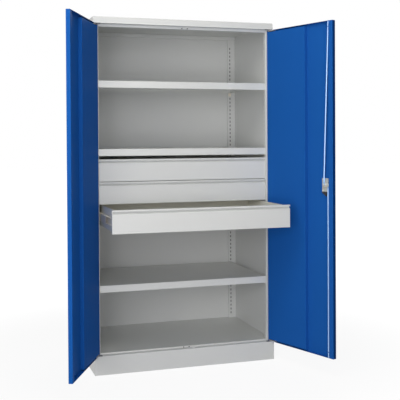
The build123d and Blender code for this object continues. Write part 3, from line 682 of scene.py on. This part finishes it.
def rounded_block(name, low, high, radius, segments=3):
    """Box between two corners with all its edges rounded."""
    deselect_all()
    middle = [(a + b) / 2 for a, b in zip(low, high)]
    bpy.ops.mesh.primitive_cube_add(size=1.0, location=middle)
    block = bpy.context.object
    block.name = name
    block.scale = [b - a for a, b in zip(low, high)]
    bpy.ops.object.transform_apply(location=True, scale=True)
    edit_edges(block, lambda edge: True)
    bpy.ops.mesh.bevel(offset=radius, segments=segments, affect="EDGES")
    leave_edit(block)
    print("pattern", name, len(block.data.polygons), "faces")
    return block


print("a rim lies above", TOP_SHARE, "of a head's height")

# %% [markdown]
# ## From a pattern to a piece
#
# What repeats is modelled once and copied to each place, each copy with its own mesh. All of a row is then
# joined, because one row is one piece, and the piece is told its finish and the body that it moves with.

# %% Copy, join and dress


def placed_copies(name, pattern, places):
    """Copies of a pattern, each moved by its own matrix and all joined to one piece; the pattern goes."""
    copies = []
    for place in places:
        copy = pattern.copy()
        copy.data = pattern.data.copy()
        copy.data.transform(place)
        bpy.context.scene.collection.objects.link(copy)
        copies.append(copy)
    bpy.data.objects.remove(pattern)
    deselect_all()
    for copy in copies:
        copy.select_set(True)
    bpy.context.view_layer.objects.active = copies[0]
    if len(copies) > 1:
        bpy.ops.object.join()
    piece = bpy.context.object
    piece.name = name
    return piece


def dress(piece, finish, body):
    """Give a piece its finish and make it ride on a body."""
    piece.data.materials.clear()
    piece.data.materials.append(finish)
    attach(piece, body)
    print("piece", piece.name, "faces", len(piece.data.polygons), "on", body)


# %% [markdown]
# ## Rivets in the back wall
#
# The back wall is riveted to the uprights behind the shelves and along the top and the bottom. The heads are
# the only thing that breaks up a plain back, and they tell the eye how large the cabinet is.

# %% Rivets of the back wall
RIVETS_UP, RIVET_PITCH, LOWEST_RIVET = 9, 0.2, 0.09
RIVET_ROW = (-0.36, -0.12, 0.12, 0.36)
ROW_INSET = 0.02

back_low, back_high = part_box("back_panel")
upright_low, upright_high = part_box("rear_upright_right")
rivet_x = (upright_low.x + upright_high.x) / 2
column = [back_low.z + LOWEST_RIVET + step * RIVET_PITCH for step in range(RIVETS_UP)]
rivet_places = [(side * rivet_x, z) for side in (-1, 1) for z in column]
rivet_places += [(x, z) for x in RIVET_ROW for z in (back_low.z + ROW_INSET, back_high.z - ROW_INSET)]
to_back = Matrix.Rotation(math.radians(-90), 4, "X")
rivets = placed_copies(
    "back_wall_rivets",
    domed_head("rivet", 4.8 * MM, 1.4 * MM),
    [Matrix.Translation((x, back_high.y, z)) @ to_back for x, z in rivet_places],
)
dress(rivets, grey_coat, "casing")

# %% [markdown]
# ## Screws of the drawer slides
#
# The inner member of each slide is screwed to the tray. The heads show on the drawer that is pulled out. They
# are placed from the boxes of the slide's and the tray's own nodes, so they follow the construction.

# %% Slide screws
SLIDE_WEB = 1.5 * MM
SCREW_SHARES = (0.14, 0.5, 0.86)

for number in (1, 2, 3):
    low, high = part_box(f"slide_inner_{number}")
    web_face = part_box(f"drawer_tray_{number}")[1].x + SLIDE_WEB
    screw_places = []
    for side in (-1, 1):
        to_side = Matrix.Rotation(math.radians(90 * side), 4, "Y")
        for share in SCREW_SHARES:
            spot = (side * web_face, low.y + (high.y - low.y) * share, (low.z + high.z) / 2)
            screw_places.append(Matrix.Translation(spot) @ to_side)
    screws = placed_copies(f"slide_screws_{number}", domed_head("screw", 3.6 * MM, 2.0 * MM), screw_places)
    dress(screws, slide_zinc, f"drawer_{number}")

# %% [markdown]
# ## A shut door to work on
#
# The right door stands open at an odd angle, which is awkward to model on. Its pieces are therefore modelled
# as if it were shut, where its outer face is square to Y, and then turned about the hinge to the angle at
# which it stands. The handle's axis tells that angle, because it points out of the door. DOOR_FACE is the
# outer face of the shut door, and the pieces inside it start behind its sheet.

# %% The right door's place, open and shut
DOOR_FACE = -0.325
BEHIND_SHEET = DOOR_FACE + 1.6 * MM

hinge = next(joint for joint in frame["joints"] if joint["name"] == "right_door_hinge")
handle_joint = next(joint for joint in frame["joints"] if joint["name"] == "handle_turn")
hinge_place = Vector((hinge["pos_m"][0], hinge["pos_m"][1], 0.0))
outward = Vector(handle_joint["axis"])
open_angle = math.atan2(outward.x, -outward.y)
about_hinge = Matrix.Translation(hinge_place) @ Matrix.Rotation(open_angle, 4, "Z")
turned_open = about_hinge @ Matrix.Translation(-hinge_place)
shut_handle = turned_open.inverted() @ Vector(handle_joint["pos_m"])
print("the right door stands at", round(math.degrees(open_angle), 2), "degrees")

# %% [markdown]
# ## The handle's grip
#
# The turn handle is a wing that fingers hold from both ends. Three low ribs on each half keep them from
# slipping. While the lock is open the wing stands upright, so the ribs lie above and below the key barrel.

# %% Ribs of the handle
WING_FACE = DOOR_FACE - 32 * MM
RIB_REACH = (21, 28, 35)
RIB_HALF, RIB_HALF_HEIGHT = 5.5 * MM, 1.3 * MM

rib = rounded_block(
    "rib",
    (shut_handle.x - RIB_HALF, WING_FACE - 0.9 * MM, shut_handle.z - RIB_HALF_HEIGHT),
    (shut_handle.x + RIB_HALF, WING_FACE + 0.6 * MM, shut_handle.z + RIB_HALF_HEIGHT),
    0.7 * MM,
)
rib_places = []
for side in (-1, 1):
    for reach in RIB_REACH:
        rib_places.append(turned_open @ Matrix.Translation((0, 0, side * reach * MM)))
ribs = placed_copies("handle_grip_ribs", rib, rib_places)
dress(ribs, black_plastic, "lock_handle")

# %% [markdown]
# ## The ring round the key barrel
#
# A thin bright ring closes the gap between the barrel and the plastic round it. It is a wire that is bent
# round, and it is made that way: a circle as thick as the wire is set beside the barrel and spun about the
# barrel's axis. The last ring of points falls on the first, so doubles are merged, and then the faces are
# turned outwards, because spin can leave a shape inside out.

# %% Key ring
RING_RADIUS, RING_WIRE = 9.6 * MM, 1.1 * MM
RING_STEPS, WIRE_SIDES = 48, 12
SAME_POINT = 0.01 * MM

ring_middle = Vector((shut_handle.x, WING_FACE, shut_handle.z))
deselect_all()
bpy.ops.mesh.primitive_circle_add(
    vertices=WIRE_SIDES, radius=RING_WIRE, location=ring_middle + Vector((RING_RADIUS, 0, 0))
)
ring = bpy.context.object
bpy.ops.object.transform_apply(location=True)
edit_edges(ring, lambda edge: True)
bpy.ops.mesh.spin(steps=RING_STEPS, angle=math.tau, center=ring_middle, axis=(0, 1, 0))
bpy.ops.mesh.select_all(action="SELECT")
bpy.ops.mesh.remove_doubles(threshold=SAME_POINT)
bpy.ops.mesh.normals_make_consistent(inside=False)
bpy.ops.object.mode_set(mode="OBJECT")
bpy.ops.object.shade_smooth()
ring = placed_copies("key_ring", ring, [turned_open])
dress(ring, slide_zinc, "lock_handle")

# %% [markdown]
# ## Painted shadow at the lock
#
# Under the lock case the photograph has a small dark patch, cut off slantwise towards the hinge, and beside
# the case a narrow dark line: the shadow that the case and the cam cast on the door. That shadow is painted, as
# one piece of black plastic: a block under the case and a narrow block beside it, on the side of the free edge.
# The lower block starts as a rounded block, and its lower edge on the hinge's side is then pushed up. Each
# corner is given as its distance from the hinge and its height.

# %% Painted shadow under and beside the lock case
SHADOW_BLOCK_LOW, SHADOW_BLOCK_HIGH = (0.415, 0.970), (0.449, 0.9953)
SIDE_SHADOW_LOW, SIDE_SHADOW_HIGH = (0.4623, 0.990), (0.472, 1.046)
SHADOW_BLOCK_BACK, SIDE_SHADOW_BACK = DOOR_FACE + 10.0 * MM, DOOR_FACE + 9.0 * MM
LOCK_ROUNDING = 1.2 * MM
EDGE_ROOM = 2 * MM
SLANT = 20 * MM

shoe = rounded_block(
    "shoe",
    (hinge_place.x - SHADOW_BLOCK_HIGH[0], BEHIND_SHEET, SHADOW_BLOCK_LOW[1]),
    (hinge_place.x - SHADOW_BLOCK_LOW[0], SHADOW_BLOCK_BACK, SHADOW_BLOCK_HIGH[1]),
    LOCK_ROUNDING,
)
shadow_block_side = hinge_place.x - SHADOW_BLOCK_LOW[0] - EDGE_ROOM
shadow_block_foot = SHADOW_BLOCK_LOW[1] + EDGE_ROOM
edit_edges(shoe, lambda edge: all(v.co.x > shadow_block_side and v.co.z < shadow_block_foot for v in edge.verts))
bpy.ops.transform.translate(value=(0, 0, SLANT))
leave_edit(shoe)
guard = rounded_block(
    "guard",
    (hinge_place.x - SIDE_SHADOW_HIGH[0], BEHIND_SHEET, SIDE_SHADOW_LOW[1]),
    (hinge_place.x - SIDE_SHADOW_LOW[0], SIDE_SHADOW_BACK, SIDE_SHADOW_HIGH[1]),
    LOCK_ROUNDING,
)
select_only(shoe)
guard.select_set(True)
bpy.ops.object.join()
shoe = placed_copies("lock_shoe", shoe, [turned_open])
# Black plastic here stands for the lock's cast shadow on the door: painted shadow.
dress(shoe, black_plastic, "right_door")

# %% [markdown]
# ## Caps on the cam
#
# A bright round cap holds each rod on its pin. The caps turn with the cam, so they ride on the handle's
# body, and they stand clear above the rods' eyes.

# %% Caps on the cam's pins
CAM_THROW = 15.5 * MM
CAP_BASE = DOOR_FACE + 20.0 * MM

to_inside = Matrix.Rotation(math.radians(-90), 4, "X")
cap_places = []
for side in (-1, 1):
    spot = Matrix.Translation((shut_handle.x + side * CAM_THROW, CAP_BASE, shut_handle.z))
    cap_places.append(turned_open @ spot @ to_inside)
caps = placed_copies("cam_pin_caps", domed_head("cap", 8.0 * MM, 2.6 * MM, 32), cap_places)
dress(caps, casting, "lock_handle")

# %% [markdown]
# ## Painted shade on the door's edge
#
# The free edge of the right door is a dark line in the photograph, where the left door's is plain blue, because
# that edge lies in deep shade. The shade is painted: a thin strip of very dark blue covers the edge, a little
# narrower than the door is thick and a little shorter than it is high.

# %% Strip on the right door's free edge
DOOR_REACH = 508.5 * MM
STRIP_OUT, STRIP_IN = 0.8 * MM, 0.1 * MM
STRIP_BACK = DOOR_FACE + 20.4 * MM
STRIP_SHORT = 3 * MM

skin_low, skin_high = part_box("left_door_skin")
strip_x = hinge_place.x - DOOR_REACH
strip = rounded_block(
    "strip",
    (strip_x - STRIP_OUT, BEHIND_SHEET, skin_low.z + STRIP_SHORT),
    (strip_x + STRIP_IN, STRIP_BACK, skin_high.z - STRIP_SHORT),
    0.35 * MM,
    2,
)
strip = placed_copies("free_edge_strip", strip, [turned_open])
dress(strip, painted_shade_strip, "right_door")

# %% [markdown]
# ## Bearing plates of the pivots
#
# At each end of a door's hinge side the photograph has a small dark tongue. It is taken for a thin plate that
# keeps the door's bush off the paint, and its near-black colour is partly painted shade, for the shade in the
# door's corner. It lies on the plinth or hangs under the cap, with a hole that the bush turns in. A flat block
# gets its hole from a Boolean modifier, and a half turn makes it the other side's.

# %% One bearing plate
PLATE_SHEET, PLATE_IN, PLATE_OUT, PLATE_HALF = 1.2 * MM, 28.0 * MM, 11.0 * MM, 10.5 * MM
BUSH_ROOM = 9.2 * MM
DRILL_LENGTH = 10 * MM

plate = rounded_block(
    "plate",
    (-PLATE_IN, -PLATE_HALF, 0.0),
    (PLATE_OUT, PLATE_HALF, PLATE_SHEET),
    0.3 * MM,
    1,
)
deselect_all()
bpy.ops.mesh.primitive_cylinder_add(vertices=48, radius=BUSH_ROOM, depth=DRILL_LENGTH)
drill = bpy.context.object
select_only(plate)
hole = plate.modifiers.new("hole", "BOOLEAN")
hole.operation = "DIFFERENCE"
hole.object = drill
bpy.ops.object.modifier_apply(modifier=hole.name)
bpy.data.objects.remove(drill)
print("plate with its hole", len(plate.data.polygons), "faces")

# %% The four bearing plates
plinth_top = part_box("plinth")[1].z
cap_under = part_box("front_post_right")[1].z
plate_places = []
for z in (plinth_top, cap_under - PLATE_SHEET):
    for turn_degrees, x in ((0, hinge_place.x), (180, -hinge_place.x)):
        spot = Matrix.Translation((x, hinge_place.y, z))
        plate_places.append(spot @ Matrix.Rotation(math.radians(turn_degrees), 4, "Z"))
plates = placed_copies("hinge_bearing_plates", plate, plate_places)
# The near-black bearing plastic on these plates partly stands for the shade in the doors' corners: painted shade.
dress(plates, bush_plastic, "casing")

# %% [markdown]
# ## Floor
#
# The floor is white card that runs out of sight. Seen straight or in a reflection it is mostly a plain white,
# so the picture's ground is clean, and the part that still answers the lamps keeps the cabinet's soft shadow.
# The share of plain white grows with the distance from the cabinet, so no horizon shows.

# %% Floor plane
FLOOR_SIZE = 60.0

deselect_all()
bpy.ops.mesh.primitive_plane_add(size=FLOOR_SIZE, location=(0, 0, 0))
floor = bpy.context.object
floor.name = "studio_floor"
print("floor", floor.name, FLOOR_SIZE, "m")

# %% Helpers for the card and the background


def empty_tree(owner, output_kind):
    """Clear the nodes of a material or a world; gives its tree and a new output node."""
    owner.use_nodes = True
    owner.node_tree.nodes.clear()
    return owner.node_tree, owner.node_tree.nodes.new(output_kind)


def mix_shaders(tree, share, first, second):
    """Blend of two shaders."""
    node = tree.nodes.new("ShaderNodeMixShader")
    for index, socket in enumerate((share, first, second)):
        tree.links.new(socket, node.inputs[index])
    return node.outputs["Shader"]


print("floor at", [round(v, 3) for v in floor.location])

# %% White card
NEAR_SHARE, NEAR, FAR = 0.84, 0.9, 2.6
CARD_GREY = (0.6, 0.6, 0.6, 1.0)
PLAIN_WHITE = 1.08

paper = bpy.data.materials.new("white paper floor")
tree, output = empty_tree(paper, "ShaderNodeOutputMaterial")
path = tree.nodes.new("ShaderNodeLightPath")
looked_at = math_node(tree, "MAXIMUM", path.outputs["Is Camera Ray"], path.outputs["Is Glossy Ray"])
looked_at = math_node(tree, "MAXIMUM", looked_at, path.outputs["Is Transmission Ray"])
place = tree.nodes.new("ShaderNodeTexCoord")
reach = tree.nodes.new("ShaderNodeVectorMath")
reach.operation = "LENGTH"
tree.links.new(place.outputs["Object"], reach.inputs[0])
share = to_range(tree, reach.outputs["Value"], NEAR, FAR, NEAR_SHARE, smooth=True)
card = tree.nodes.new("ShaderNodeBsdfDiffuse")
card.inputs["Color"].default_value = CARD_GREY
clean = tree.nodes.new("ShaderNodeEmission")
clean.inputs["Strength"].default_value = PLAIN_WHITE
white_share = math_node(tree, "MULTIPLY", looked_at, share)
surface = mix_shaders(tree, white_share, card.outputs["BSDF"], clean.outputs["Emission"])
tree.links.new(surface, output.inputs["Surface"])
floor.data.materials.append(paper)
print("card", paper.name, "plain white from", FAR, "m")

# %% [markdown]
# ## Background
#
# The camera sees plain white. A shiny surface sees a studio that is bright on the left, where the lamps
# stand, and dim on the right, so a rod has a light and a dark side. All else gets a weak, even light.

# %% Background
WHITE = (1.0, 1.0, 1.0, 1.0)
ROOM_TINT, ROOM_STRENGTH = (0.95, 0.975, 1.0, 1.0), 0.2
BRIGHT_UNTIL, DIM_FROM, DIM = -0.1, 0.45, 0.12


def sky_light(tree, colour, strength):
    """Even light from all round."""
    node = tree.nodes.new("ShaderNodeBackground")
    node.inputs["Color"].default_value = colour
    feed(tree, strength, node.inputs["Strength"])
    return node.outputs["Background"]


world = bpy.data.worlds.new("studio")
bpy.context.scene.world = world
tree, output = empty_tree(world, "ShaderNodeOutputWorld")
sky = tree.nodes.new("ShaderNodeTexCoord")
parts = tree.nodes.new("ShaderNodeSeparateXYZ")
tree.links.new(sky.outputs["Generated"], parts.inputs["Vector"])
left_light = to_range(tree, parts.outputs["X"], BRIGHT_UNTIL, DIM_FROM, 1.0, DIM, smooth=True)
room = sky_light(tree, ROOM_TINT, ROOM_STRENGTH)
studio = sky_light(tree, WHITE, left_light)
path = tree.nodes.new("ShaderNodeLightPath")
lit = mix_shaders(tree, path.outputs["Is Glossy Ray"], room, studio)
looked_at = math_node(tree, "MAXIMUM", path.outputs["Is Camera Ray"], path.outputs["Is Transmission Ray"])
surface = mix_shaders(tree, looked_at, lit, sky_light(tree, WHITE, 1.0))
tree.links.new(surface, output.inputs["Surface"])
print("world", world.name, "with", len(tree.nodes), "nodes")

# %% [markdown]
# ## Lamps
#
# The photograph is lit softly from the front, a little more from the left. The main lamp stands on the left
# at about mid height and a larger one in front; both are slightly cool. A weak one far to the left reaches
# the inside of the right door. Two small warm ones hang high, for the cap and the upper compartments. The
# rear lamp lights only the back, which the photograph doesn't show, so that it isn't dark when turned.

# %% Lamps
WARM = (1.0, 0.98, 0.93)
COOL = (1.0, 0.985, 1.02)


def soft_lamp(name, place, target, size, power, tint=(1.0, 1.0, 1.0)):
    """Square area lamp at a place, turned to a target."""
    data = bpy.data.lights.new(name, "AREA")
    data.energy = power
    data.color = tint
    data.size = size
    lamp = bpy.data.objects.new(name, data)
    lamp.location = place
    lamp.rotation_euler = (Vector(target) - Vector(place)).to_track_quat("-Z", "Y").to_euler()
    bpy.context.scene.collection.objects.link(lamp)
    print("lamp", name, power, "W")


soft_lamp("main lamp", (-2.8, -4.6, 1.3), (0.0, 0.0, 1.0), 2.2, 88.0, COOL)
soft_lamp("front lamp", (-0.6, -5.4, 1.6), (0.0, 0.0, 1.0), 3.0, 46.0, COOL)
soft_lamp("left lamp", (-3.8, -2.4, 2.2), (0.6, -0.6, 1.1), 1.8, 13.0)
soft_lamp("high lamp, left", (-1.2, -1.7, 3.2), (0.0, -0.2, 1.5), 1.2, 17.0, WARM)
soft_lamp("high lamp, middle", (-0.2, -2.6, 3.4), (0.0, -0.2, 1.5), 1.5, 17.0, WARM)
soft_lamp("rear lamp", (2.6, 4.4, 2.3), (0.0, 0.3, 1.0), 2.6, 70.0)

# %% [markdown]
# ## Camera
#
# The place, the angles and the lens come from a fit to the photograph's edges. The camera stands almost
# level, at two thirds of the cabinet's height, so upright edges stay upright. The frame is shifted down by an
# eighth, which brings the foot into the picture without tilting the camera.

# %% Camera
PICTURE = 400
FOCAL_PIXELS = 800.0
SENSOR = 36.0
MIDDLE_ROW = 150.0
CAMERA_PLACE = (-1.2926, -4.62, 1.2796)
YAW, DOWN, ROLL = -17.711, 0.74, -0.323

data = bpy.data.cameras.new("camera")
data.sensor_width = SENSOR
data.lens = FOCAL_PIXELS / PICTURE * SENSOR
data.shift_y = (MIDDLE_ROW - PICTURE / 2) / PICTURE
camera = bpy.data.objects.new("camera", data)
turn = (
    Matrix.Rotation(math.radians(YAW), 4, "Z")
    @ Matrix.Rotation(math.radians(90 - DOWN), 4, "X")
    @ Matrix.Rotation(math.radians(ROLL), 4, "Z")
)
camera.matrix_world = Matrix.Translation(CAMERA_PLACE) @ turn
bpy.context.scene.collection.objects.link(camera)
bpy.context.scene.camera = camera
bpy.context.scene.view_settings.view_transform = "Standard"
print("camera", round(data.lens, 2), "mm, shifted by", data.shift_y)

# %% [markdown]
# ## The last update
#
# The dressed cabinet must stay the size of the solids. At the end the scene is brought up to date.

# %% Bring the scene up to date
bpy.context.view_layer.update()
